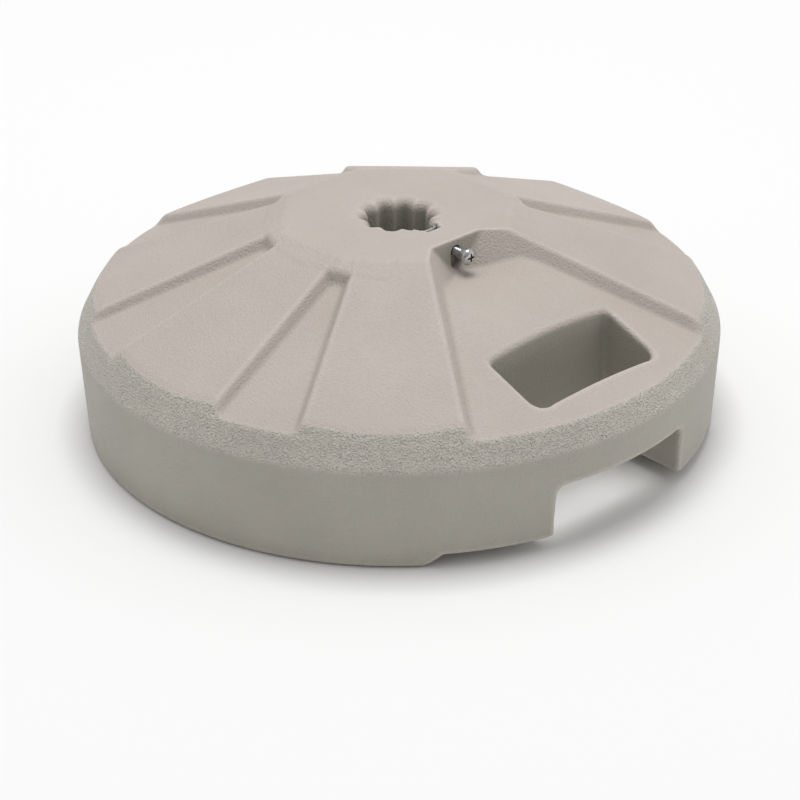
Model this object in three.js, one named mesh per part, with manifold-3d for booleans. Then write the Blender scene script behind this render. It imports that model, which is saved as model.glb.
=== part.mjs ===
// Parasol base: a round, hollow, blow-moulded plastic shell weighted with concrete.
// Millimetres, +Z up. The origin is on the floor, under the middle of the pole bore.
// +X points from the bore to the clamp screw and the carrying handle.
import * as THREE from 'three';
import { mergeVertices } from 'three/addons/utils/BufferGeometryUtils.js';
import Module from 'manifold-3d';

const wasm = await Module();
wasm.setup();

// Outer form
const RIM_R = 245;              // widest radius, at the crease between side wall and shoulder
const RIM_Z = 77;
const FOOT_R = 241.3;           // the side wall tapers in to the floor
const FOOT_EDGE = 4;            // bevel of the bottom edge
const SHOULDER_R = 234.5;       // upper edge of the shoulder, where it meets a groove's floor
const SHOULDER_Z = 97.2;
const HEIGHT = 163;             // flat hub disc round the bore
const ROOF_SLOPE = 0.406;       // fall of the flat petals, per mm outwards
const ROOF_APEX = 196.7;        // height that the petal planes would reach on the axis
const PETALS = 8;               // the first one, towards +X, is left out for the handle recess
const PETAL_HALF = 27;          // half width of a petal at PETAL_HALF_X
const PETAL_HALF_X = 88;
const PETAL_SPREAD = 0.209;     // growth of the half width, per mm outwards
const PETAL_DRAFT = 0.62;       // sideways lean of a petal's flank, per mm of depth
const GROOVE_START_R = 103;     // inner end of the grooves between the petals
const GROOVE_START_Z = 148.4;
const CROWN_TOP_R = 98;

// Handle recess, handle hole and hand notch
const CHORD_X = 63;             // upright wall at the inner end of the recess
const CHORD_LEAN = 0.04;        // the wall leans out this much, per mm down
const RECESS_SLOPE = 0.382;     // floor of the recess, per mm outwards
const VALLEY_Z = 138.5;         // level bottom of the valley in front of the screw
const VALLEY_HALF = 22;
const VALLEY_SLOPE = 0.6;       // its sides rise this much, per mm
const HOLE_HALF = 60;
const HOLE_IN_X = 160;
const HOLE_OUT_X = 211;
const HOLE_IN_CORNER = 5;
const HOLE_OUT_CORNER = 10;
const NOTCH_HALF = 64;
const NOTCH_TOP = 50;
const NOTCH_CORNER = 9;

// Underside
const LIFT_Z = 9.5;             // the edge round the hand notch stands clear of the floor
const LIFT_HALF = 138;
const LIFT_START_X = 128;
const LIFT_EDGE = 8;
const HOLLOW_R = 96;            // shallow hollow in the middle of the underside
const HOLLOW_DEPTH = 4;

// Walls and filling
const WALL = 4;
const BALLAST_GAP = 0.5;
const BALLAST_TOP = 62;
const GAP = 0.3;                // clearance between pieces that touch

// Pole bore
const BORE_R = 25.2;
const BORE_WAVE = 2;
const BORE_LOBES = 10;
const LOBE_POINTS = 8;

// Clamp screw, along X
const SCREW_Z = 152.8;
const SCREW_R = 4;
const SCREW_HEAD_R = 6.4;
const SCREW_HEAD_H = 4.4;
const SCREW_HEAD_EDGE = 2;      // height of the head's upright edge, under its dome
const SCREW_BEVEL = 1;
const SCREW_HEAD_X = 75.7;      // seat of the head
const SCREW_LENGTH = 50;        // under the head
const SCREW_TUNNEL_R = 4.6;
const SCREW_SIDES = 32;
const DOME_STEPS = 5;
const CROSS_HALF = 3.4;         // cross recess in the head
const CROSS_WIDTH = 1.5;
const CROSS_DEPTH = 2.6;
const COLLAR_R = 5.2;           // plain collar behind the head
const COLLAR_LENGTH = 4.6;
const COLLAR_BEVEL = 0.5;
const POCKET_R = 5;             // oval pocket under the screw in the upright wall
const POCKET_HIGH = 3.5;        // centres of its round ends, below the screw's axis
const POCKET_LOW = 8.5;
const POCKET_DEPTH = 6;

// Clip and nut in the bore's edge
const CLIP_X = 32.6;            // face that bears on the nut
const CLIP_T = 1.5;
const CLIP_HALF = 8.6;
const CLIP_TABS = [7, 3];       // reach of the two side tabs towards the pole
const CLIP_TOP = 160.5;
const CLIP_BOTTOM = 142;
const NUT_HALF = 6.5;
const NUT_T = 5;
const SEAT_PLAY = 0.6;

// Filling hole and plug in the underside
const PLUG_X = -58;
const PLUG_R = 17;
const PLUG_HEAD_R = 21;
const PLUG_HEAD_T = 2.4;
const PLUG_DEPTH = 12;
const PLUG_WALL = 4;
const PLUG_BEVEL = 2;
const PLUG_ROOM = 3;            // clear of the concrete round the stem
const PLUG_SIDES = 40;

const RINGS = 96;               // facets of the large round surfaces
const CURVE_STEPS = 6;
const FAR = 400;                // larger than the object
const REACH = 20;               // cutting solids go this far past the face they cut

const SHOULDER_LEAN = (RIM_R - SHOULDER_R) / (SHOULDER_Z - RIM_Z);
const TURN = Math.PI * 2;
const PITCH_ANGLE = TURN / PETALS;
const GROOVE_SLOPE = (GROOVE_START_Z - SHOULDER_Z) / (SHOULDER_R - GROOVE_START_R);

// ---- solids ----

function solid(geometry) {
  const bare = geometry.clone();
  bare.deleteAttribute('normal');
  bare.deleteAttribute('uv');
  const merged = mergeVertices(bare, 1e-4);
  const mesh = new wasm.Mesh({
    numProp: 3,
    vertProperties: new Float32Array(merged.attributes.position.array),
    triVerts: new Uint32Array(merged.index.array),
  });
  return new wasm.Manifold(mesh);
}

function geometryOf(manifold) {
  const mesh = manifold.getMesh();
  const geometry = new THREE.BufferGeometry();
  geometry.setAttribute('position', new THREE.BufferAttribute(mesh.vertProperties.slice(), 3));
  geometry.setIndex(new THREE.BufferAttribute(mesh.triVerts.slice(), 1));
  geometry.computeVertexNormals();
  return geometry;
}

// Solid of revolution about Z. The profile is a list of [radius, height], from the axis to the axis.
function turned(profile, segments = RINGS) {
  const points = profile.map(([radius, height]) => new THREE.Vector2(radius, height));
  return new THREE.LatheGeometry(points, segments).rotateX(Math.PI / 2);
}

// Prism standing on a plan outline, from one height to another.
function prism(shape, low, high) {
  const geometry = new THREE.ExtrudeGeometry(shape, {
    depth: high - low,
    bevelEnabled: false,
    curveSegments: CURVE_STEPS,
  });
  return geometry.translate(0, 0, low);
}

function outline(points) {
  return new THREE.Shape(points.map(([x, y]) => new THREE.Vector2(x, y)));
}

function box(x0, x1, y0, y1, z0, z1) {
  const geometry = new THREE.BoxGeometry(x1 - x0, y1 - y0, z1 - z0);
  return geometry.translate((x0 + x1) / 2, (y0 + y1) / 2, (z0 + z1) / 2);
}

// Round bar along X.
function bar(radius, x0, x1, z) {
  const geometry = new THREE.CylinderGeometry(radius, radius, x1 - x0, SCREW_SIDES);
  return geometry.rotateZ(Math.PI / 2).translate((x0 + x1) / 2, 0, z);
}

// Closed solid between two rings of points, each a convex polygon with as many corners.
function loft(lower, upper) {
  const count = lower.length;
  const positions = [...lower, ...upper].flat();
  const index = [];
  for (let i = 0; i < count; i += 1) {
    const next = (i + 1) % count;
    index.push(i, next, count + next);
    index.push(i, count + next, count + i);
  }
  for (let i = 1; i < count - 1; i += 1) {
    index.push(0, i + 1, i);
    index.push(count, count + i, count + i + 1);
  }
  const geometry = new THREE.BufferGeometry();
  geometry.setAttribute('position', new THREE.Float32BufferAttribute(positions, 3));
  geometry.setIndex(index);
  return geometry;
}

function unite(manifolds) {
  return manifolds.reduce((sum, next) => sum.add(next));
}

// ---- the shell's form, with every wall moved inwards by an inset ----

// Outer skin: side wall, shoulder and the level of the hub.
function envelope(inset) {
  const wallLean = Math.atan2(RIM_R - FOOT_R, RIM_Z);
  const shoulderLean = Math.atan(SHOULDER_LEAN);
  const mitre = inset / Math.cos((shoulderLean + wallLean) / 2);
  const creaseR = RIM_R - mitre * Math.cos((shoulderLean - wallLean) / 2);
  const creaseZ = RIM_Z - mitre * Math.sin((shoulderLean - wallLean) / 2);
  const top = HEIGHT - inset;
  return solid(turned([
    [0, inset],
    [FOOT_R - FOOT_EDGE - inset, inset],
    [FOOT_R - inset, FOOT_EDGE + inset],
    [creaseR, creaseZ],
    [creaseR - SHOULDER_LEAN * (top - creaseZ), top],
    [0, top],
  ]));
}

// Round block up to the floors of the grooves.
function grooveFloor(inset) {
  const drop = inset * Math.hypot(1, GROOVE_SLOPE);
  const floorAt = (radius) => SHOULDER_Z - drop + GROOVE_SLOPE * (SHOULDER_R - radius);
  const edge = RIM_R + REACH;
  return solid(turned([[0, -REACH], [edge, -REACH], [edge, floorAt(edge)], [0, floorAt(0)]]));
}

// Eight-sided roof through the tops of the petals.
function roof(inset) {
  const drop = inset * Math.hypot(1, ROOF_SLOPE);
  const low = RIM_Z - REACH;
  const high = HEIGHT + REACH / 2;
  const cornerRadius = (z) => (ROOF_APEX - drop - z) / ROOF_SLOPE / Math.cos(PITCH_ANGLE / 2);
  const pyramid = new THREE.CylinderGeometry(cornerRadius(high), cornerRadius(low), high - low, PETALS);
  return solid(pyramid.rotateX(Math.PI / 2).rotateZ(PITCH_ANGLE / 2).translate(0, 0, (low + high) / 2));
}

// Block under one petal, whose flanks lean outwards as they go down.
function petalBlock(number, inset) {
  const depth = 3 * REACH;
  const start = 2 * REACH;
  const ring = (below) => {
    const half = (x) => PETAL_HALF - inset + PETAL_SPREAD * (x - PETAL_HALF_X) + PETAL_DRAFT * below;
    const corners = [[start, -half(start)], [FAR, -half(FAR)], [FAR, half(FAR)], [start, half(start)]];
    return corners.map(([x, y]) => [x, y, ROOF_APEX - below - ROOF_SLOPE * x]);
  };
  return solid(loft(ring(depth), ring(0)).rotateZ(number * PITCH_ANGLE));
}

// The hub's plinth, which closes the inner ends of the grooves.
function crown(inset) {
  const low = GROOVE_START_Z - REACH;
  const lean = (GROOVE_START_R - CROWN_TOP_R) / (HEIGHT - GROOVE_START_Z);
  return solid(turned([
    [0, low],
    [GROOVE_START_R - inset + lean * (GROOVE_START_Z - low), low],
    [CROWN_TOP_R - inset, HEIGHT],
    [0, HEIGHT],
  ]));
}

// Shape in a plane across X, pushed out along +X from a start.
function alongX(shape, start) {
  return prism(shape, start, FAR).rotateX(Math.PI / 2).rotateZ(Math.PI / 2);
}

// Valley in front of the clamp screw: a level bottom between two rising sides.
function valleySpace(inset) {
  const low = VALLEY_Z - inset;
  const half = VALLEY_HALF + inset;
  const wide = half + FAR;
  const high = low + VALLEY_SLOPE * FAR;
  return solid(alongX(outline([[-half, low], [half, low], [wide, high], [-wide, high]]), 0));
}

// Space above the floor of the handle recess, out from its upright wall.
function recessSpace(inset) {
  const drop = inset * Math.hypot(1, RECESS_SLOPE);
  const floorAt = (radius) => SHOULDER_Z - drop + RECESS_SLOPE * (SHOULDER_R - radius);
  const above = solid(turned([[0, floorAt(0)], [FAR, floorAt(FAR)], [FAR, FAR], [0, FAR]]));
  const lean = (z) => CHORD_X - inset + CHORD_LEAN * (HEIGHT - z);
  const ring = (z) => [[lean(z), -lean(z)], [FAR, -FAR], [FAR, FAR], [lean(z), lean(z)]]
    .map(([x, y]) => [x, y, z]);
  const sector = solid(loft(ring(SHOULDER_Z - REACH), ring(HEIGHT + REACH)));
  return above.add(valleySpace(inset)).intersect(sector);
}

function boreSpace(inset) {
  const count = BORE_LOBES * LOBE_POINTS;
  const points = [];
  for (let i = 0; i < count; i += 1) {
    const angle = (i / count) * TURN;
    const radius = BORE_R + inset - BORE_WAVE * Math.cos(BORE_LOBES * angle);
    points.push([radius * Math.cos(angle), radius * Math.sin(angle)]);
  }
  return solid(prism(outline(points), -REACH, HEIGHT + REACH));
}

// Handle hole: a rectangle with rounded corners.
function holeSpace(inset) {
  const half = HOLE_HALF + inset;
  const low = HOLE_IN_X - inset;
  const high = HOLE_OUT_X + inset;
  const shape = new THREE.Shape();
  shape.moveTo(low + HOLE_IN_CORNER, -half);
  shape.lineTo(high - HOLE_OUT_CORNER, -half);
  shape.quadraticCurveTo(high, -half, high, -half + HOLE_OUT_CORNER);
  shape.lineTo(high, half - HOLE_OUT_CORNER);
  shape.quadraticCurveTo(high, half, high - HOLE_OUT_CORNER, half);
  shape.lineTo(low + HOLE_IN_CORNER, half);
  shape.quadraticCurveTo(low, half, low, half - HOLE_IN_CORNER);
  shape.lineTo(low, -half + HOLE_IN_CORNER);
  shape.quadraticCurveTo(low, -half, low + HOLE_IN_CORNER, -half);
  return solid(prism(shape, -REACH, HEIGHT));
}

// Hand notch under the grip, open to the outside and to the floor.
function notchSpace(inset) {
  const half = NOTCH_HALF + inset;
  const top = NOTCH_TOP + inset;
  const shape = new THREE.Shape();
  shape.moveTo(-half, -REACH);
  shape.lineTo(half, -REACH);
  shape.lineTo(half, top - NOTCH_CORNER);
  shape.quadraticCurveTo(half, top, half - NOTCH_CORNER, top);
  shape.lineTo(-half + NOTCH_CORNER, top);
  shape.quadraticCurveTo(-half, top, -half, top - NOTCH_CORNER);
  return solid(alongX(shape, HOLE_IN_X - inset));
}

// Space under the raised edge round the hand notch.
function liftSpace(inset) {
  const ring = (z, edge) => {
    const half = LIFT_HALF + edge;
    const start = LIFT_START_X - edge;
    return [[start, -half, z], [FAR, -half, z], [FAR, half, z], [start, half, z]];
  };
  return solid(loft(ring(-GAP, LIFT_EDGE + inset), ring(LIFT_Z + inset, inset)));
}

function hollowSpace(inset) {
  return solid(turned([
    [0, -GAP],
    [HOLLOW_R + HOLLOW_DEPTH + GAP + inset, -GAP],
    [HOLLOW_R + inset, HOLLOW_DEPTH + inset],
    [0, HOLLOW_DEPTH + inset],
  ]));
}

// Seat of the clip and the nut at the bore's edge, and the tunnel of the screw.
function clampSpace(inset) {
  const play = SEAT_PLAY + inset;
  const low = CLIP_BOTTOM - play;
  const high = HEIGHT + REACH;
  const clipX = CLIP_X + CLIP_T + play;
  const clip = box(0, clipX, -CLIP_HALF - play, CLIP_HALF + play, low, high);
  const nut = box(0, clipX + NUT_T, -NUT_HALF - play, NUT_HALF + play, low, high);
  const tunnel = bar(SCREW_TUNNEL_R + inset, 0, CHORD_X + REACH, SCREW_Z);
  return unite([clip, nut, tunnel].map(solid));
}

function pocketSpace(inset) {
  const radius = POCKET_R + inset;
  const levels = [SCREW_Z - POCKET_LOW, SCREW_Z - POCKET_HIGH];
  return unite(levels.map((z) => solid(bar(radius, CHORD_X - POCKET_DEPTH - inset, CHORD_X + REACH, z))));
}

function form(inset) {
  const petals = [];
  for (let number = 1; number < PETALS; number += 1) {
    petals.push(petalBlock(number, inset));
  }
  const hub = grooveFloor(inset).add(crown(inset).intersect(roof(inset))).subtract(recessSpace(inset));
  const tops = unite(petals).intersect(roof(inset));
  const spaces = [
    boreSpace, holeSpace, notchSpace, liftSpace, hollowSpace, clampSpace, pocketSpace,
  ].map((space) => space(inset));
  return hub.add(tops).intersect(envelope(inset)).subtract(unite(spaces));
}

// ---- pieces ----

const materials = {
  shell: new THREE.MeshStandardMaterial({ color: 0xbab2a7, roughness: 0.62, metalness: 0 }),
  concrete: new THREE.MeshStandardMaterial({ color: 0x9a9a96, roughness: 0.95, metalness: 0 }),
  plug: new THREE.MeshStandardMaterial({ color: 0x8f887e, roughness: 0.55, metalness: 0 }),
  zinc: new THREE.MeshStandardMaterial({ color: 0xc4c6c8, roughness: 0.35, metalness: 1 }),
  chrome: new THREE.MeshStandardMaterial({ color: 0xdadcde, roughness: 0.15, metalness: 1 }),
};

function shell() {
  const filling = new THREE.CylinderGeometry(PLUG_R + GAP, PLUG_R + GAP, REACH, PLUG_SIDES);
  filling.rotateX(Math.PI / 2).translate(PLUG_X, 0, HOLLOW_DEPTH);
  return form(0).subtract(form(WALL)).subtract(solid(filling));
}

function concreteBallast() {
  const level = solid(box(-FAR, FAR, -FAR, FAR, 0, BALLAST_TOP));
  const roomR = PLUG_R + PLUG_ROOM;
  const plugRoom = new THREE.CylinderGeometry(roomR, roomR, 2 * (PLUG_DEPTH + PLUG_ROOM), PLUG_SIDES);
  plugRoom.rotateX(Math.PI / 2).translate(PLUG_X, 0, HOLLOW_DEPTH);
  return form(WALL + BALLAST_GAP).intersect(level).subtract(solid(plugRoom));
}

// Push-in plug: a flat head under the wall and a hollow stem in the hole.
function fillPlug() {
  const face = HOLLOW_DEPTH - GAP;
  const lip = face - PLUG_HEAD_T;
  const top = HOLLOW_DEPTH + PLUG_DEPTH;
  return solid(turned([
    [0, lip],
    [PLUG_HEAD_R, lip],
    [PLUG_HEAD_R, face],
    [PLUG_R, face],
    [PLUG_R, top - PLUG_BEVEL],
    [PLUG_R - PLUG_BEVEL, top],
    [PLUG_R - PLUG_WALL, top],
    [PLUG_R - PLUG_WALL, face],
    [0, face],
  ], PLUG_SIDES).translate(PLUG_X, 0, 0));
}

// Folded channel with a long and a short side tab turned towards the pole.
function poleClip() {
  const back = box(CLIP_X, CLIP_X + CLIP_T, -CLIP_HALF, CLIP_HALF, CLIP_BOTTOM, CLIP_TOP);
  const [long, short] = CLIP_TABS.map((reach) => CLIP_X - reach);
  const inner = CLIP_HALF - CLIP_T;
  const tabs = [
    box(long, CLIP_X + CLIP_T, -CLIP_HALF, -inner, CLIP_BOTTOM, CLIP_TOP),
    box(short, CLIP_X + CLIP_T, inner, CLIP_HALF, CLIP_BOTTOM, CLIP_TOP),
  ];
  const drilled = bar(SCREW_R + GAP, 0, CHORD_X, SCREW_Z);
  return unite([back, ...tabs].map(solid)).subtract(solid(drilled));
}

function squareNut() {
  const low = CLIP_X + CLIP_T + GAP;
  const block = box(low, low + NUT_T, -NUT_HALF, NUT_HALF, SCREW_Z - NUT_HALF, SCREW_Z + NUT_HALF);
  return solid(block).subtract(solid(bar(SCREW_R + GAP, 0, CHORD_X, SCREW_Z)));
}

// Pan-head screw with a cross recess. Its own frame is on its axis, at the seat of the head.
function clampScrew() {
  const dome = [];
  for (let i = 0; i <= DOME_STEPS; i += 1) {
    const angle = (i / DOME_STEPS) * (TURN / 4);
    const rise = (SCREW_HEAD_H - SCREW_HEAD_EDGE) * Math.sin(angle);
    dome.push([SCREW_HEAD_R * Math.cos(angle), SCREW_HEAD_EDGE + rise]);
  }
  const body = turned([
    [0, -SCREW_LENGTH],
    [SCREW_R - SCREW_BEVEL, -SCREW_LENGTH],
    [SCREW_R, SCREW_BEVEL - SCREW_LENGTH],
    [SCREW_R, 0],
    [SCREW_HEAD_R, 0],
    ...dome,
  ], SCREW_SIDES);
  const half = CROSS_WIDTH / 2;
  const floor = SCREW_HEAD_H - CROSS_DEPTH;
  const cross = [
    box(-CROSS_HALF, CROSS_HALF, -half, half, floor, SCREW_HEAD_H + REACH),
    box(-half, half, -CROSS_HALF, CROSS_HALF, floor, SCREW_HEAD_H + REACH),
  ];
  return solid(body).subtract(unite(cross.map(solid)));
}

// Plain collar that the screw turns in and pushes along.
function screwCollar() {
  return solid(turned([
    [SCREW_R + GAP, 0],
    [COLLAR_R - COLLAR_BEVEL, 0],
    [COLLAR_R, COLLAR_BEVEL],
    [COLLAR_R, COLLAR_LENGTH - COLLAR_BEVEL],
    [COLLAR_R - COLLAR_BEVEL, COLLAR_LENGTH],
    [SCREW_R + GAP, COLLAR_LENGTH],
    [SCREW_R + GAP, 0],
  ], SCREW_SIDES));
}

// ---- assembly ----

const group = new THREE.Group();

function add(parent, name, manifold, material) {
  const mesh = new THREE.Mesh(geometryOf(manifold), material.clone());
  mesh.name = name;
  parent.add(mesh);
  return mesh;
}

add(group, 'shell', shell(), materials.shell);
add(group, 'concrete_ballast', concreteBallast(), materials.concrete);
add(group, 'fill_plug', fillPlug(), materials.plug);
add(group, 'pole_clip', poleClip(), materials.zinc);
add(group, 'square_nut', squareNut(), materials.zinc);

const screwAxis = new THREE.Group();
screwAxis.position.set(SCREW_HEAD_X, 0, SCREW_Z);
screwAxis.rotation.y = Math.PI / 2;
group.add(screwAxis);
add(screwAxis, 'clamp_screw', clampScrew(), materials.chrome);
const collar = add(screwAxis, 'screw_collar', screwCollar(), materials.chrome);
collar.position.z = -COLLAR_LENGTH - GAP;

export default group;
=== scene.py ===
"""Parasol base: fine surfaces, materials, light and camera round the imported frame. Metres."""
import math

import bpy
import numpy as np
from mathutils import Matrix, Vector


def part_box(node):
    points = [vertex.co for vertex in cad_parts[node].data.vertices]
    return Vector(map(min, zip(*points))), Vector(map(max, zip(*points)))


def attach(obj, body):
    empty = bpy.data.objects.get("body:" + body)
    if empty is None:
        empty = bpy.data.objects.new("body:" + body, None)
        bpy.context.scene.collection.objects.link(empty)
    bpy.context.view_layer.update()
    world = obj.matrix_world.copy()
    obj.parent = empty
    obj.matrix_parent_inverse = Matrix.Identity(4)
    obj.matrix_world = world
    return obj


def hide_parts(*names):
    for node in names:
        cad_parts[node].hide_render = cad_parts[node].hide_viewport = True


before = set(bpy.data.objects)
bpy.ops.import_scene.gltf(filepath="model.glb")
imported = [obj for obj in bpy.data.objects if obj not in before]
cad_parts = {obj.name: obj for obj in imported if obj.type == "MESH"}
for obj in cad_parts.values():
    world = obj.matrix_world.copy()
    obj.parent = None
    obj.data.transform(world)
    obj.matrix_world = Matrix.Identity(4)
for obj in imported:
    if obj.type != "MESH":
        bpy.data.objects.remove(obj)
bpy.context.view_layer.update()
MM = 0.001

# ---- the shell's form, the same sizes as its CAD solid ----

shell_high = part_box("shell")[1]
RIM_R = shell_high.x
HEIGHT = shell_high.z
RIM_Z = 77 * MM
FOOT_R = 241.3 * MM
SHOULDER_R = 234.5 * MM
SHOULDER_Z = 97.2 * MM
ROOF_SLOPE = 0.406
ROOF_APEX = 196.7 * MM
PETALS = 8
PITCH_ANGLE = math.tau / PETALS
PETAL_HALF = 27 * MM
PETAL_HALF_X = 88 * MM
PETAL_SPREAD = 0.209
PETAL_DRAFT = 0.62
GROOVE_START_R = 103 * MM
GROOVE_START_Z = 148.4 * MM
CROWN_TOP_R = 98 * MM

CHORD_X = 63 * MM
CHORD_LEAN = 0.04
RECESS_SLOPE = 0.382
VALLEY_Z = 138.5 * MM
VALLEY_HALF = 22 * MM
VALLEY_SLOPE = 0.6
HOLE_HALF = 60 * MM
HOLE_IN_X = 160 * MM
HOLE_OUT_X = 211 * MM
NOTCH_HALF = 64 * MM
NOTCH_TOP = 50 * MM
LIFT_Z = 9.5 * MM
LIFT_HALF = 138 * MM
LIFT_START_X = 128 * MM
HOLLOW_R = 96 * MM
HOLLOW_DEPTH = 4 * MM

BORE_R = 25.2 * MM
BORE_WAVE = 2 * MM
BORE_LOBES = 10

# Width over which two surfaces of the shell run into each other.
PETAL_BLEND = 2.4 * MM
PLINTH_BLEND = 3 * MM
GROOVE_BLEND = 2.5 * MM
VALLEY_BLEND = 9 * MM
VALLEY_RIM_BLEND = 14 * MM
RECESS_BLEND = 7 * MM
HOLE_IN_BLEND = 6 * MM
HOLE_OUT_BLEND = 13 * MM
NOTCH_BLEND = 10 * MM
PETAL_SHOULDER_BLEND = 4 * MM
SHOULDER_BLEND = 2.2 * MM
PETAL_FOOT_BLEND = 2 * MM
HUB_BLEND = 1.2 * MM
RIM_BLEND = 1.6 * MM
FLOOR_BLEND = 5 * MM
BORE_BLEND = 9 * MM
HOLE_BLEND = 4.5 * MM
NOTCH_EDGE_BLEND = 3.5 * MM
UNDERSIDE_BLEND = 3 * MM
PLUG_HOLE_BLEND = 0.8 * MM
SEAT_BLEND = 1.2 * MM
TUNNEL_BLEND = 1 * MM
POCKET_BLEND = 2 * MM

clip_low, clip_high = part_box("pole_clip")
nut_low, nut_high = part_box("square_nut")
screw_low, screw_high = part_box("clamp_screw")
collar_low, collar_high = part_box("screw_collar")
plug_low, plug_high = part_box("fill_plug")
SCREW_Z = (screw_low.z + screw_high.z) / 2
SCREW_R = 4 * MM
THREAD_PITCH = 1.25 * MM
SEAT_PLAY = 0.6 * MM
TUNNEL_R = 4.6 * MM
POCKET_R = 5 * MM
POCKET_HIGH = 3.5 * MM
POCKET_LOW = 8.5 * MM
POCKET_DEPTH = 6 * MM
PLUG_R = 17 * MM
GAP = 0.3 * MM
EDGE_STEP = 1.5 * MM
SQUARE_CORNER = math.sqrt(0.5)   # scale that makes a difference across 45 degrees a distance


# ---- implicit surfaces: negative inside, values in metres ----

def smax(a, b, blend):
    """Intersection of two solids with a rounded edge."""
    overlap = np.maximum(blend - np.abs(a - b), 0) / blend
    return np.maximum(a, b) + overlap * overlap * blend / 4


def smin(a, b, blend):
    """Union of two solids with a filleted corner."""
    return -smax(-a, -b, blend)


def cone(radius, z, start, end):
    """Distance from the cone through two (radius, height) points, positive outside it."""
    (r0, z0), (r1, z1) = start, end
    length = math.hypot(r1 - r0, z1 - z0)
    return ((z - z0) * (r0 - r1) + (radius - r0) * (z1 - z0)) / length


def petal_field(radius, angle, z):
    """One flat petal, folded over the seven places round the axis."""
    number = np.clip(np.round(angle / PITCH_ANGLE), 1, PETALS // 2)
    turn = angle - number * PITCH_ANGLE
    along = radius * np.cos(turn)
    across = np.abs(radius * np.sin(turn))
    below = ROOF_APEX - ROOF_SLOPE * along - z
    top = -below / math.hypot(1, ROOF_SLOPE)
    steepness = math.hypot(1, PETAL_DRAFT, PETAL_SPREAD - PETAL_DRAFT * ROOF_SLOPE)
    half = PETAL_HALF + PETAL_SPREAD * (along - PETAL_HALF_X) + PETAL_DRAFT * below
    flank = (across - half) / steepness
    return smax(top, flank, PETAL_BLEND)


def hub_field(radius, angle, z):
    """Groove floors and the plinth that closes the grooves at the hub."""
    floor = cone(radius, z, (SHOULDER_R, SHOULDER_Z), (GROOVE_START_R, GROOVE_START_Z))
    along = radius * np.cos(angle - np.round(angle / PITCH_ANGLE) * PITCH_ANGLE)
    roof = (z - ROOF_APEX + ROOF_SLOPE * along) / math.hypot(1, ROOF_SLOPE)
    wall = cone(radius, z, (GROOVE_START_R, GROOVE_START_Z), (CROWN_TOP_R, HEIGHT))
    return smin(floor, smax(roof, wall, PLINTH_BLEND), GROOVE_BLEND)


def recess_space(radius, x, y, z):
    """Space above the recess: over its conical floor and in the valley before the screw."""
    floor_apex = SHOULDER_Z + RECESS_SLOPE * SHOULDER_R
    floor = cone(radius, z, (SHOULDER_R, SHOULDER_Z), (0, floor_apex))
    side_z = VALLEY_Z + VALLEY_SLOPE * (np.abs(y) - VALLEY_HALF)
    side = (side_z - z) / math.hypot(1, VALLEY_SLOPE)
    valley = smax(VALLEY_Z - z, side, VALLEY_BLEND)
    wall = (CHORD_X + CHORD_LEAN * (HEIGHT - z) - x) / math.hypot(1, CHORD_LEAN)
    above = smax(smin(-floor, valley, VALLEY_RIM_BLEND), wall, RECESS_BLEND)
    return np.maximum(above, (np.abs(y) - x) * SQUARE_CORNER)


def bore_space(radius, angle):
    lobe = BORE_LOBES * angle
    wave = BORE_R - BORE_WAVE * np.cos(lobe)
    return (radius - wave) / np.hypot(1, BORE_LOBES * BORE_WAVE * np.sin(lobe) / BORE_R)


def hole_space(x, y):
    inner = smax(np.abs(y) - HOLE_HALF, HOLE_IN_X - x, HOLE_IN_BLEND)
    return smax(inner, x - HOLE_OUT_X, HOLE_OUT_BLEND)


def notch_space(x, y, z):
    arch = smax(np.abs(y) - NOTCH_HALF, z - NOTCH_TOP, NOTCH_BLEND)
    return np.maximum(arch, HOLE_IN_X - x)


def lift_space(x, y, z):
    side = (np.abs(y) - LIFT_HALF - (LIFT_Z - z)) * SQUARE_CORNER
    back = (LIFT_START_X - (LIFT_Z - z) - x) * SQUARE_CORNER
    return np.maximum(np.maximum(z - LIFT_Z, side), back)


def hollow_space(radius, z):
    side = (radius - HOLLOW_R - (HOLLOW_DEPTH - z)) * SQUARE_CORNER
    return np.maximum(z - HOLLOW_DEPTH, side)


def block_space(x, y, z, high_x, half_y, low_z):
    return np.maximum(np.maximum(np.abs(y) - half_y, low_z - z), np.maximum(x - high_x, -x))


def clamp_spaces(x, y, z):
    """Seat of the clip, seat of the nut, tunnel of the screw, and the oval pocket under it."""
    low_z = clip_low.z - SEAT_PLAY
    clip = block_space(x, y, z, clip_high.x + SEAT_PLAY, clip_high.y + SEAT_PLAY, low_z)
    nut = block_space(x, y, z, nut_high.x + SEAT_PLAY, nut_high.y + SEAT_PLAY, low_z)
    from_axis = np.hypot(y, z - SCREW_Z)
    tunnel = np.maximum(from_axis - TUNNEL_R, -x)
    oval = np.hypot(y, z - np.clip(z, SCREW_Z - POCKET_LOW, SCREW_Z - POCKET_HIGH)) - POCKET_R
    pocket = np.maximum(oval, CHORD_X - POCKET_DEPTH - x)
    return np.minimum(clip, nut), tunnel, pocket


def plug_space(x, y, z):
    """Room for the stem of the filling plug, and for its head under the hollow."""
    from_axis = np.hypot(x - (plug_low.x + plug_high.x) / 2, y)
    return np.maximum(from_axis - PLUG_R - GAP, z - plug_high.z - GAP)


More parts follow.
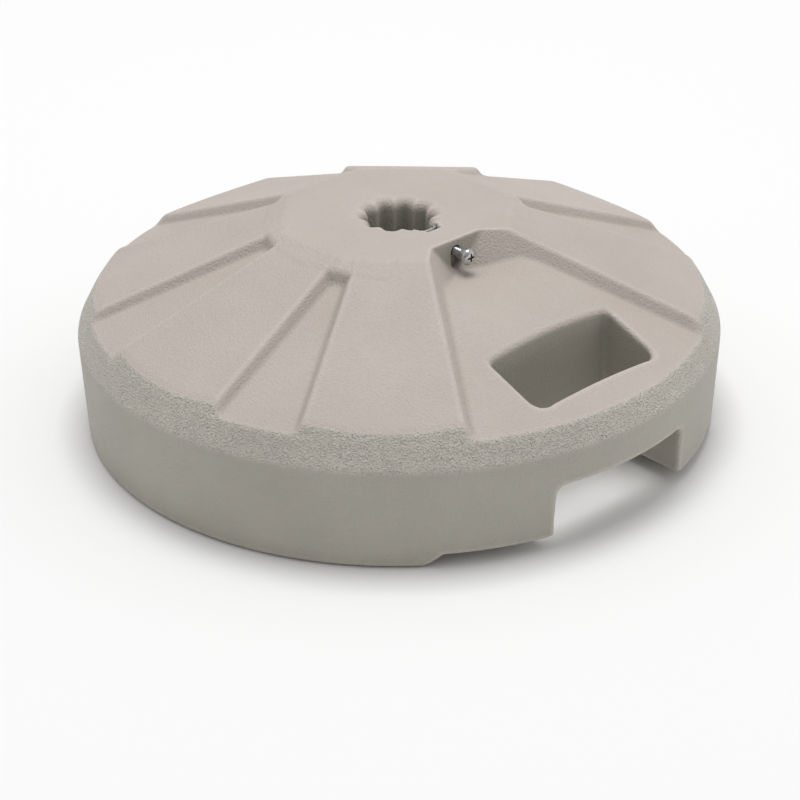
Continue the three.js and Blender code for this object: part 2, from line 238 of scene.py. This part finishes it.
def shell_field(x, y, z):
    radius = np.hypot(x, y)
    angle = np.abs(np.arctan2(y, x))
    shoulder = cone(radius, z, (RIM_R, RIM_Z), (SHOULDER_R, SHOULDER_Z))
    body = hub_field(radius, angle, z)
    body = smax(body, -recess_space(radius, x, y, z), RECESS_BLEND)
    petals = smax(petal_field(radius, angle, z), shoulder, PETAL_SHOULDER_BLEND)
    body = smin(smax(body, shoulder, SHOULDER_BLEND), petals, PETAL_FOOT_BLEND)
    body = smax(body, z - HEIGHT, HUB_BLEND)
    side = cone(radius, z, (FOOT_R, 0), (RIM_R, RIM_Z))
    body = smax(body, side, RIM_BLEND)
    body = smax(body, -z, FLOOR_BLEND)
    body = smax(body, -bore_space(radius, angle), BORE_BLEND)
    body = smax(body, -hole_space(x, y), HOLE_BLEND)
    body = smax(body, -notch_space(x, y, z), NOTCH_EDGE_BLEND)
    body = smax(body, -lift_space(x, y, z), UNDERSIDE_BLEND)
    body = smax(body, -hollow_space(radius, z), UNDERSIDE_BLEND)
    body = smax(body, -plug_space(x, y, z), PLUG_HOLE_BLEND)
    seat, tunnel, pocket = clamp_spaces(x, y, z)
    body = smax(body, -seat, SEAT_BLEND)
    body = smax(body, -tunnel, TUNNEL_BLEND)
    return smax(body, -pocket, POCKET_BLEND)


# ---- a mesh from an implicit surface ----

def graded(stops):
    """Grid coordinates between stops [(place, step up to the next stop), ...]."""
    parts = []
    for (start, step), (end, _) in zip(stops, stops[1:]):
        count = max(1, round((end - start) / step))
        parts.append(np.linspace(start, end, count, endpoint=False))
    return np.concatenate(parts + [[stops[-1][0]]])


def surface_net(field, axes):
    """Vertices and quads of the field's zero surface: one vertex for each crossed grid cell."""
    inside = field < 0
    shape = np.array(field.shape)
    cells = tuple(shape - 1)
    corners = [(i, j, k) for i in (0, 1) for j in (0, 1) for k in (0, 1)]

    def corner(grid, offset):
        return grid[tuple(slice(o, o + n) for o, n in zip(offset, cells))]

    filled = sum(corner(inside, c).astype(np.int8) for c in corners)
    ijk = np.argwhere((filled > 0) & (filled < 8))
    index = np.full(cells, -1, dtype=np.int64)
    index[tuple(ijk.T)] = np.arange(len(ijk))

    def at(offset):
        place = ijk + np.array(offset)
        value = field[tuple(place.T)]
        return value, np.stack([axes[d][place[:, d]] for d in range(3)], axis=1)

    total = np.zeros((len(ijk), 3))
    count = np.zeros(len(ijk))
    for a in corners:
        for d in range(3):
            if a[d]:
                continue
            b = tuple(v + (n == d) for n, v in enumerate(a))
            value_a, place_a = at(a)
            value_b, place_b = at(b)
            crossed = (value_a < 0) != (value_b < 0)
            share = np.where(crossed, value_a / np.where(crossed, value_a - value_b, 1), 0)
            point = place_a + (place_b - place_a) * share[:, None]
            total[crossed] += point[crossed]
            count[crossed] += 1
    vertices = total / count[:, None]

    quads = []
    for d in range(3):
        u, v = [(1, 2), (2, 0), (0, 1)][d]
        head = [slice(None)] * 3
        tail = [slice(None)] * 3
        head[d], tail[d] = slice(0, -1), slice(1, None)
        first, second = inside[tuple(head)], inside[tuple(tail)]
        for flip, edges in ((False, first & ~second), (True, ~first & second)):
            place = np.argwhere(edges)
            place = place[(place[:, u] > 0) & (place[:, v] > 0)]
            ring = []
            for du, dv in ((1, 1), (0, 1), (0, 0), (1, 0)):
                cell = place.copy()
                cell[:, u] -= du
                cell[:, v] -= dv
                ring.append(index[tuple(cell.T)])
            quad = np.stack(ring, axis=1)
            quads.append(quad[:, ::-1] if flip else quad)
    return vertices, np.concatenate(quads)


def slopes(function, points, step=0.05 * MM):
    """Gradient of the field at points."""
    columns = []
    for d in range(3):
        ahead, behind = points.copy(), points.copy()
        ahead[:, d] += step
        behind[:, d] -= step
        columns.append((function(*ahead.T) - function(*behind.T)) / (2 * step))
    return np.stack(columns, axis=1)


def settled(function, points, reach, rounds=4):
    """Points moved onto the zero surface, each by no more than reach a round."""
    for _ in range(rounds):
        slope = slopes(function, points)
        size = np.maximum((slope ** 2).sum(axis=1), 0.05)
        move = -(function(*points.T) / size)[:, None] * slope
        length = np.linalg.norm(move, axis=1)
        move *= np.minimum(1, reach / np.maximum(length, 1e-12))[:, None]
        points = points + move
    return points


def mesh_piece(name, vertices, faces, normals=None):
    mesh = bpy.data.meshes.new(name)
    mesh.vertices.add(len(vertices))
    mesh.vertices.foreach_set("co", np.ascontiguousarray(vertices, dtype=np.float32).ravel())
    size = faces.shape[1]
    mesh.loops.add(faces.size)
    mesh.loops.foreach_set("vertex_index", np.ascontiguousarray(faces, dtype=np.int32).ravel())
    mesh.polygons.add(len(faces))
    mesh.polygons.foreach_set("loop_start", np.arange(0, faces.size, size, dtype=np.int32))
    mesh.update(calc_edges=True)
    mesh.validate()
    mesh.polygons.foreach_set("use_smooth", np.ones(len(mesh.polygons), dtype=bool))
    if normals is not None:
        mesh.normals_split_custom_set_from_vertices(normals.tolist())
    piece = bpy.data.objects.new(name, mesh)
    bpy.context.collection.objects.link(piece)
    return piece


def piece_from_field(name, field, axes, reach):
    """Smooth mesh of a field's zero surface; its attribute "edge" is high on convex edges."""
    x, y, z = np.meshgrid(*[a.astype(np.float32) for a in axes], indexing="ij")
    vertices, quads = surface_net(field(x, y, z), axes)
    vertices = settled(field, vertices, reach)
    normals = slopes(field, vertices)
    normals /= np.maximum(np.linalg.norm(normals, axis=1), 1e-9)[:, None]
    piece = mesh_piece(name, vertices, quads, normals)
    bend = np.zeros(len(vertices))
    for d in range(3):
        ahead, behind = vertices.copy(), vertices.copy()
        ahead[:, d] += EDGE_STEP
        behind[:, d] -= EDGE_STEP
        bend += field(*ahead.T) + field(*behind.T)
    # Bend of the surface; the shell's finish uses it for painted highlights on convex edges and
    # painted shade in creases.
    curvature = piece.data.attributes.new("edge", "FLOAT", "POINT")
    curvature.data.foreach_set("value", np.clip(bend / EDGE_STEP, -1, 1).astype(np.float32))
    return piece


def make_shell():
    """The shell's skin on a grid that is finer round the bore and the clamp."""
    coarse, fine = 2.6 * MM, 1.3 * MM
    edge = 3 * MM
    reach = RIM_R + edge
    fine_x, fine_y, fine_z = (-30 * MM, 82 * MM), (-38 * MM, 38 * MM), 132 * MM
    axes = [
        graded([(-reach, coarse), (low, fine), (high, coarse), (reach, coarse)])
        for low, high in (fine_x, fine_y)
    ]
    axes.append(graded([(-edge, coarse), (fine_z, fine), (HEIGHT + edge, fine)]))
    shell = piece_from_field("shell_skin", shell_field, axes, coarse / 3)
    mark_shoulder(shell)
    return shell


def mark_shoulder(shell):
    """Vertex attribute that is 1 on the shoulder band, which is moulded coarser."""
    count = len(shell.data.vertices)
    places = np.zeros(count * 3, dtype=np.float32)
    shell.data.vertices.foreach_get("co", places)
    x, y, z = places.reshape(-1, 3).T
    away = np.abs(cone(np.hypot(x, y), z, (RIM_R, RIM_Z), (SHOULDER_R, SHOULDER_Z)))
    near = np.clip(1.6 - away / (0.8 * MM), 0, 1)
    above_rim = np.clip((z - RIM_Z + 0.5 * MM) / (1 * MM), 0, 1)
    share = near * above_rim
    band = shell.data.attributes.new("shoulder", "FLOAT", "POINT")
    band.data.foreach_set("value", share.astype(np.float32))


def even(low, high, step, margin):
    """Grid axes round a box."""
    return [np.arange(low[d] - margin, high[d] + margin, step) for d in range(3)]


def rounded_box(x, y, z, low, high, radius):
    """Distance from a box with rounded edges."""
    away = []
    for value, start, end in zip((x, y, z), low, high):
        away.append(np.abs(value - (start + end) / 2) - (end - start) / 2 + radius)
    outside = np.sqrt(sum(np.maximum(a, 0) ** 2 for a in away))
    return outside + np.minimum(np.maximum.reduce(away), 0) - radius


# ---- clip, nut and filling plug ----

CLIP_T = 1.5 * MM
CLIP_BEND = 2.2 * MM
CLIP_SHORT = 3 * MM
CLIP_PAST = 20 * MM              # the rounded box runs this far past the strip's open sides


def clip_field(x, y, z):
    """Folded strip: a rounded box's outer skin, open towards the pole, with the screw's hole."""
    low = (clip_low.x - CLIP_PAST, clip_low.y, clip_low.z - CLIP_PAST)
    high = (clip_high.x, clip_high.y, clip_high.z + CLIP_PAST)
    outer = rounded_box(x, y, z * 0 + clip_low.z, low, high, CLIP_BEND)
    strip = smax(outer, -(outer + CLIP_T), 0.2 * MM)
    back = clip_high.x - CLIP_T
    long_end = clip_low.x - x
    short_end = back - CLIP_SHORT - x
    ends = np.where(y < 0, long_end, short_end)
    strip = smax(strip, ends, 0.5 * MM)
    strip = smax(strip, np.maximum(clip_low.z - z, z - clip_high.z), 0.5 * MM)
    hole = np.hypot(y, z - SCREW_Z) - SCREW_R - GAP
    return smax(strip, -hole, 0.4 * MM)


def thread(x, y, z):
    """Ripple of a thread along X: 0 at the crest, 1 at the root."""
    turns = x / THREAD_PITCH + np.arctan2(y, z - SCREW_Z) / math.tau
    return np.abs(2 * (turns - np.floor(turns)) - 1)


def nut_field(x, y, z):
    block = rounded_box(x, y, z, nut_low, nut_high, 0.5 * MM)
    from_axis = np.hypot(y, z - SCREW_Z)
    middle = (nut_low.x + nut_high.x) / 2
    half = (nut_high.x - nut_low.x) / 2
    dome = from_axis - nut_high.y * 1.24 + (np.abs(x - middle) - half) * 1.2
    hole = from_axis - SCREW_R - GAP - 0.25 * MM * (1 - thread(x, y, z))
    return smax(smax(block, dome, 0.4 * MM), -hole, 0.2 * MM)


def plug_field(x, y, z):
    """Push-in plug: a domed head with a grip bar in a dish, and a hollow ribbed stem."""
    centre = (plug_low.x + plug_high.x) / 2
    head_r = (plug_high.x - plug_low.x) / 2
    face = HOLLOW_DEPTH - GAP
    from_axis = np.hypot(x - centre, y)
    head = smax(from_axis - head_r, np.maximum(plug_low.z - z, z - face), 1.4 * MM)
    dish = smax(from_axis - 0.72 * head_r, z - plug_low.z - 1 * MM, 0.6 * MM)
    grip = np.maximum(np.abs(y) - 1.6 * MM, np.abs(x - centre) - 0.76 * head_r)
    head = smax(head, -smax(dish, -grip, 0.8 * MM), 0.6 * MM)
    rib = 0.5 * MM * np.cos(math.tau * z / (3 * MM))
    stem = smax(from_axis - PLUG_R + 0.6 * MM - rib, z - plug_high.z, 1 * MM)
    stem = smax(stem, -(from_axis - PLUG_R + 4 * MM), 0.5 * MM)
    stem = np.maximum(stem, plug_low.z + 1.4 * MM - z)
    return smin(head, stem, 0.4 * MM)


# ---- screw and collar ----

THREAD_DEPTH = 0.34 * MM
HEAD_SEAT = collar_high.x + GAP
HEAD_R = (screw_high.z - screw_low.z) / 2
HEAD_DOME_R = 19 * MM
CROSS_HALF = 3.5 * MM
CROSS_ARM = 0.72 * MM            # half the width of an arm
CROSS_DEPTH = 2.8 * MM


def lathed(profile, segments):
    """Vertices and quads of a surface of revolution about X at the screw's height."""
    turns = np.arange(segments) * math.tau / segments
    radius, along = np.array(profile).T
    y = radius[:, None] * np.cos(turns)
    z = radius[:, None] * np.sin(turns) + SCREW_Z
    x = np.broadcast_to(along[:, None], y.shape)
    vertices = np.stack([x, y, z], axis=2).reshape(-1, 3)
    return vertices, ring_faces(len(profile), segments)


def ring_faces(rings, segments):
    i, j = np.meshgrid(np.arange(rings - 1), np.arange(segments), indexing="ij")
    k = (j + 1) % segments
    near, far = i * segments, (i + 1) * segments
    return np.stack([near + j, near + k, far + k, far + j], axis=2).reshape(-1, 4)


def make_shank():
    """Threaded shank up to the head, from its blunt tip."""
    segments, per_pitch = 36, 7
    start, end = screw_low.x, HEAD_SEAT + 0.5 * MM
    rings = int((end - start) / THREAD_PITCH * per_pitch)
    x = np.linspace(start, end, rings)[:, None]
    turn = (np.arange(segments) * math.tau / segments)[None, :]
    y, z = np.cos(turn), np.sin(turn)
    groove = thread(x, y, z + SCREW_Z) * THREAD_DEPTH
    point = np.clip(1 - (x - start) / (0.9 * MM), 0, 1) * 0.7 * MM
    plain = np.clip((x - (HEAD_SEAT - 2 * MM)) / (1 * MM), 0, 1)
    radius = SCREW_R - point - groove * (1 - plain)
    radius = np.concatenate([radius[:1] * 0.001, radius])
    x = np.concatenate([x[:1], x])
    vertices = np.stack(
        [np.broadcast_to(x, radius.shape), radius * y, radius * z + SCREW_Z], axis=2
    ).reshape(-1, 3)
    return vertices, ring_faces(rings + 1, segments)


def head_field(x, y, z):
    """Pan head with a tapered cross recess."""
    z = z - SCREW_Z
    from_axis = np.hypot(y, z)
    top = screw_high.x
    dome = np.hypot(np.maximum(x - (top - HEAD_DOME_R), 0), from_axis) - HEAD_DOME_R
    head = smax(from_axis - HEAD_R, dome, 2.6 * MM)
    head = smax(head, HEAD_SEAT - x, 0.6 * MM)
    depth = top - x
    shorter, narrower = 0.34 * depth, 0.06 * depth
    arm_y = np.maximum(np.abs(y) - CROSS_HALF + shorter, np.abs(z) - CROSS_ARM + narrower)
    arm_z = np.maximum(np.abs(z) - CROSS_HALF + shorter, np.abs(y) - CROSS_ARM + narrower)
    cross = smin(np.minimum(arm_y, arm_z), from_axis - 1.7 * MM + 0.5 * depth, 0.3 * MM)
    cross = smax(cross, depth - CROSS_DEPTH, 0.4 * MM)
    return smax(head, -cross, 0.35 * MM)


def make_screw():
    low = (HEAD_SEAT, -HEAD_R, SCREW_Z - HEAD_R)
    high = (screw_high.x, HEAD_R, SCREW_Z + HEAD_R)
    axes = even(low, high, 0.2 * MM, 0.5 * MM)
    head = piece_from_field("screw_head", head_field, axes, 0.1 * MM)
    vertices, faces = make_shank()
    shank = mesh_piece("screw_shank", vertices, faces[:, ::-1])
    return [head, shank]


def make_collar():
    """Plain ring with both outer edges rounded."""
    inner = SCREW_R + 0.15 * MM
    outer = (collar_high.z - collar_low.z) / 2
    bevel = 0.5 * MM
    low, high = collar_low.x, collar_high.x
    flat = outer - bevel
    quarter = [(bevel * math.sin(t), bevel * math.cos(t)) for t in np.linspace(0, math.pi / 2, 5)]
    profile = [(inner, low)]
    profile += [(flat + up, low + bevel - along) for up, along in quarter]
    profile += [(flat + up, high - bevel + along) for along, up in quarter]
    profile += [(inner, high), (inner, low)]
    vertices, faces = lathed(profile, 64)
    return mesh_piece("collar_ring", vertices, faces)


# ---- materials ----

def linear(red, green, blue):
    """Display colour 0..255 as linear light."""
    def channel(value):
        value /= 255
        return value / 12.92 if value <= 0.04045 else ((value + 0.055) / 1.055) ** 2.4
    return (channel(red), channel(green), channel(blue), 1)


class Surface:
    """A material under construction: small helpers round its node tree."""

    def __init__(self, name):
        self.made = bpy.data.materials.new(name)
        self.made.use_nodes = True
        self.nodes = self.made.node_tree.nodes
        self.links = self.made.node_tree.links
        self.shader = self.nodes["Principled BSDF"]
        self.place = self.nodes.new("ShaderNodeTexCoord").outputs["Object"]

    def feed(self, socket, value):
        if isinstance(value, bpy.types.NodeSocket):
            self.links.new(value, socket)
        else:
            socket.default_value = value

    def set(self, name, value):
        self.feed(self.shader.inputs[name], value)

    def noise(self, scale, detail=2, roughness=0.5, stretch=None):
        node = self.nodes.new("ShaderNodeTexNoise")
        self.feed(node.inputs["Vector"], self.stretched(stretch) if stretch else self.place)
        self.feed(node.inputs["Scale"], scale)
        self.feed(node.inputs["Detail"], detail)
        self.feed(node.inputs["Roughness"], roughness)
        return node.outputs["Fac"]

    def stretched(self, scale):
        node = self.nodes.new("ShaderNodeMapping")
        self.feed(node.inputs["Vector"], self.place)
        self.feed(node.inputs["Scale"], scale)
        return node.outputs["Vector"]

    def cells(self, scale):
        node = self.nodes.new("ShaderNodeTexVoronoi")
        node.feature = "SMOOTH_F1"
        self.feed(node.inputs["Vector"], self.place)
        self.feed(node.inputs["Scale"], scale)
        self.feed(node.inputs["Smoothness"], 0.35)
        return node.outputs["Distance"]

    def spread(self, value, low, high, to_low=0, to_high=1):
        node = self.nodes.new("ShaderNodeMapRange")
        self.feed(node.inputs["Value"], value)
        for name, bound in (("From Min", low), ("From Max", high)):
            self.feed(node.inputs[name], bound)
        for name, bound in (("To Min", to_low), ("To Max", to_high)):
            self.feed(node.inputs[name], bound)
        return node.outputs["Result"]

    def product(self, a, b):
        node = self.nodes.new("ShaderNodeMath")
        node.operation = "MULTIPLY"
        self.feed(node.inputs[0], a)
        self.feed(node.inputs[1], b)
        return node.outputs[0]

    def blend(self, share, a, b):
        node = self.nodes.new("ShaderNodeMix")
        node.data_type = "RGBA"
        for socket, value in ((0, share), (6, a), (7, b)):   # factor and the two colours
            self.feed(node.inputs[socket], value)
        return node.outputs[2]

    def bump(self, height, distance, strength=1, under=None):
        node = self.nodes.new("ShaderNodeBump")
        self.feed(node.inputs["Height"], height)
        self.feed(node.inputs["Distance"], distance)
        self.feed(node.inputs["Strength"], strength)
        if under is not None:
            self.feed(node.inputs["Normal"], under)
        return node.outputs["Normal"]

    def upright(self):
        """Height of the true normal: 1 on level faces, 0 on walls."""
        geometry = self.nodes.new("ShaderNodeNewGeometry")
        split = self.nodes.new("ShaderNodeSeparateXYZ")
        self.feed(split.inputs[0], geometry.outputs["Normal"])
        return split.outputs["Z"]

    def attribute(self, name):
        node = self.nodes.new("ShaderNodeAttribute")
        node.attribute_name = name
        return node.outputs["Fac"]


def moulded_plastic():
    """Fine-grained plastic, pebbled on the shoulder, with painted light: lighter and warmer on its
    slopes, darker and greener on walls as painted shade, lighter on convex edges as painted
    highlight and darker in creases as painted shade.
    """
    made = Surface("moulded_plastic")
    # Painted shade: steep walls get the darker, greener side colour and sloping faces get the
    # lighter top colour, chosen by the slope of the normal.
    painted_light_share = made.spread(made.upright(), 0.15, 0.38)
    band = made.attribute("shoulder")
    drift = made.noise(14, 3, 0.55)
    tone = made.spread(drift, 0.3, 0.7)
    top = made.blend(tone, linear(188, 177, 169), linear(194, 184, 176))
    side = made.blend(tone, linear(171, 167, 156), linear(179, 175, 164))
    shoulder = made.blend(tone, linear(195, 190, 180), linear(203, 199, 188))
    colour = made.blend(band, made.blend(painted_light_share, side, top), shoulder)
    grain = made.noise(620, 3, 0.6)
    speck = made.spread(grain, 0.3, 0.7)
    colour = made.blend(made.product(speck, 0.1), colour, linear(214, 208, 200))
    # Painted highlight: convex edges are blended towards a lighter colour.
    edge = made.spread(made.attribute("edge"), 0.05, 0.42, 0, 0.34)
    colour = made.blend(edge, colour, linear(222, 214, 205))
    # Painted shade: concave creases are blended towards a darker colour.
    crease_shade = made.spread(made.attribute("edge"), -0.05, -0.42, 0, 0.42)
    colour = made.blend(crease_shade, colour, linear(150, 146, 134))
    made.set("Base Color", colour)
    made.set("Roughness", made.spread(grain, 0.25, 0.75, 0.42, 0.56))
    made.set("Specular IOR Level", 0.4)
    pebble = made.bump(made.product(made.cells(760), band), 1.4 * MM)
    made.set("Normal", made.bump(grain, 1.4 * MM, 0.8, pebble))
    return made.made


def cast_concrete():
    made = Surface("cast_concrete")
    cloud = made.noise(30, 6, 0.65)
    tone = made.spread(cloud, 0.3, 0.7)
    made.set("Base Color", made.blend(tone, linear(138, 138, 134), linear(168, 167, 161)))
    made.set("Roughness", made.spread(cloud, 0.3, 0.7, 0.85, 0.98))
    grit = made.noise(420, 6, 0.7)
    made.set("Normal", made.bump(grit, 0.9 * MM, 0.8))
    return made.made


def plug_plastic():
    made = Surface("plug_plastic")
    cloud = made.noise(60, 3, 0.5)
    grain = made.noise(900, 3, 0.6)
    colour = made.blend(made.spread(cloud, 0.3, 0.7), linear(150, 143, 133), linear(162, 154, 144))
    edge = made.spread(made.attribute("edge"), 0.2, 0.9, 0, 0.3)
    made.set("Base Color", made.blend(edge, colour, linear(186, 180, 170)))
    made.set("Roughness", made.spread(grain, 0.3, 0.7, 0.42, 0.58))
    made.set("Normal", made.bump(grain, 0.3 * MM, 0.5))
    return made.made


def plated_steel(name, dull, bright, rough, grain_depth, streak):
    """Plated steel: faint streaks, fine pitting and brighter worn edges."""
    made = Surface(name)
    cloud = made.noise(260, 4, 0.6)
    lines = made.noise(900, 3, 0.6, stretch=streak)
    colour = made.blend(made.spread(cloud, 0.3, 0.7), dull, bright)
    edge = made.spread(made.attribute("edge"), 0.2, 0.9, 0, 0.5)
    made.set("Base Color", made.blend(edge, colour, linear(236, 237, 238)))
    made.set("Metallic", 1.0)
    made.set("Roughness", made.spread(lines, 0.3, 0.7, rough, rough + 0.14))
    pits = made.bump(cloud, grain_depth, 0.5)
    made.set("Normal", made.bump(lines, grain_depth / 2, 0.4, pits))
    return made.made


# ---- pieces, each on its body ----

def place(pieces, body, slot, finish, *nodes):
    for piece in pieces:
        piece.data.materials.append(finish)
        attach(piece, body)
    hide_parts(*nodes)


def boxed_piece(name, field, low, high, step, reach):
    return piece_from_field(name, field, even(low, high, step, 1 * MM), reach)


zinc = plated_steel(
    "zinc_plate", linear(176, 178, 180), linear(204, 206, 208), 0.26, 0.08 * MM, (1, 1, 0.12)
)
chrome = plated_steel(
    "chrome_plate", linear(150, 151, 152), linear(178, 178, 178), 0.08, 0.05 * MM, (0.12, 1, 1)
)
clip = boxed_piece("clip_strip", clip_field, clip_low, clip_high, 0.35 * MM, 0.15 * MM)
nut = boxed_piece("nut_block", nut_field, nut_low, nut_high, 0.25 * MM, 0.12 * MM)
plug = boxed_piece("plug_push", plug_field, plug_low, plug_high, 0.5 * MM, 0.2 * MM)

place([make_shell()], "base", "shell_plastic", moulded_plastic(), "shell")
place([clip], "base", "zinc_steel", zinc, "pole_clip")
place([nut], "base", "zinc_steel", zinc, "square_nut")
place([plug], "base", "plug_plastic", plug_plastic(), "fill_plug")
place(make_screw(), "screw", "chrome_steel", chrome, "clamp_screw")
place([make_collar()], "collar", "chrome_steel", chrome, "screw_collar")

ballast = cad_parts["concrete_ballast"]
ballast.data.materials.clear()
ballast.data.materials.append(cast_concrete())

# ---- camera, floor and light ----

CAMERA_AZIMUTH = math.radians(48)
CAMERA_ELEVATION = math.radians(28.41)
CAMERA_DISTANCE = 8 * RIM_R
CAMERA_ROLL = math.radians(-0.57)
LENS = 112.87
DOME_LEVEL = 0.24
DOME_FRONT = -0.08
DOME_RIGHT = 0.1
DOME_TOP = 0.42
DOME_SIDES = 0.3
TOP_POWER = 130
TOP_PLACE = (-0.5, 0.4, 4.88)
TOP_SIZE = 2.4
TOP_AIM = (0, 0, 0.08)
FLOOR_HALF = 6
FLOOR_DROP = 0.5 * MM


def make_camera():
    data = bpy.data.cameras.new("camera")
    data.sensor_width = 36
    data.lens = LENS
    data.shift_y = 0.005
    data.clip_end = 50
    camera = bpy.data.objects.new("camera", data)
    bpy.context.collection.objects.link(camera)
    back = Vector((
        math.sin(CAMERA_AZIMUTH) * math.cos(CAMERA_ELEVATION),
        -math.cos(CAMERA_AZIMUTH) * math.cos(CAMERA_ELEVATION),
        math.sin(CAMERA_ELEVATION),
    ))
    turn = (-back).to_track_quat("-Z", "Y").to_matrix() @ Matrix.Rotation(CAMERA_ROLL, 3, "Z")
    camera.matrix_world = Matrix.Translation(back * CAMERA_DISTANCE) @ turn.to_4x4()
    bpy.context.scene.camera = camera


def make_floor():
    corners = [(-1, -1, 0), (1, -1, 0), (1, 1, 0), (-1, 1, 0)]
    places = FLOOR_HALF * np.array(corners, dtype=float)
    floor = mesh_piece("floor", places, np.array([[0, 1, 2, 3]]))
    floor.location.z = -FLOOR_DROP
    made = Surface("floor")
    made.set("Base Color", (0.9, 0.9, 0.9, 1))
    made.set("Roughness", 0.95)
    made.set("Specular IOR Level", 0.1)
    floor.data.materials.append(made.made)


def make_top_light():
    """Square soft box high above the base, a little behind it."""
    data = bpy.data.lights.new("top", "AREA")
    data.shape = "RECTANGLE"
    data.size = data.size_y = TOP_SIZE
    data.energy = TOP_POWER
    light = bpy.data.objects.new("top", data)
    bpy.context.collection.objects.link(light)
    light.location = TOP_PLACE
    aim = Vector(TOP_AIM) - Vector(TOP_PLACE)
    light.rotation_euler = aim.to_track_quat("-Z", "Y").to_euler()


def make_world():
    """A pale studio: bright above and at the sides, a little dimmer on the camera's side."""
    world = bpy.data.worlds.new("studio")
    world.use_nodes = True
    nodes, links = world.node_tree.nodes, world.node_tree.links
    direction = nodes.new("ShaderNodeTexCoord").outputs["Generated"]

    def towards(vector):
        """How far a ray points along a direction, -1 to 1."""
        dot = nodes.new("ShaderNodeVectorMath")
        dot.operation = "DOT_PRODUCT"
        links.new(direction, dot.inputs[0])
        dot.inputs[1].default_value = vector
        return dot.outputs["Value"]

    def scaled(value, gain, added=0):
        node = nodes.new("ShaderNodeMath")
        node.operation = "MULTIPLY_ADD"
        for socket, term in zip(node.inputs, (value, gain, added)):
            if isinstance(term, bpy.types.NodeSocket):
                links.new(term, socket)
            else:
                socket.default_value = term
        return node.outputs[0]

    front = (math.sin(CAMERA_AZIMUTH), -math.cos(CAMERA_AZIMUTH), 0)
    right = (math.cos(CAMERA_AZIMUTH), math.sin(CAMERA_AZIMUTH), 0)
    value = scaled(towards(front), DOME_FRONT, DOME_LEVEL)
    value = scaled(towards(right), DOME_RIGHT, value)
    value = scaled(towards((0, 0, 1)), DOME_TOP, value)
    sides = scaled(towards(right), towards(right))
    value = scaled(sides, DOME_SIDES, value)
    links.new(value, nodes["Background"].inputs["Strength"])
    nodes["Background"].inputs["Color"].default_value = (1, 1, 1, 1)
    bpy.context.scene.world = world


make_camera()
make_floor()
make_world()
make_top_light()
bpy.context.scene.view_settings.view_transform = "Standard"
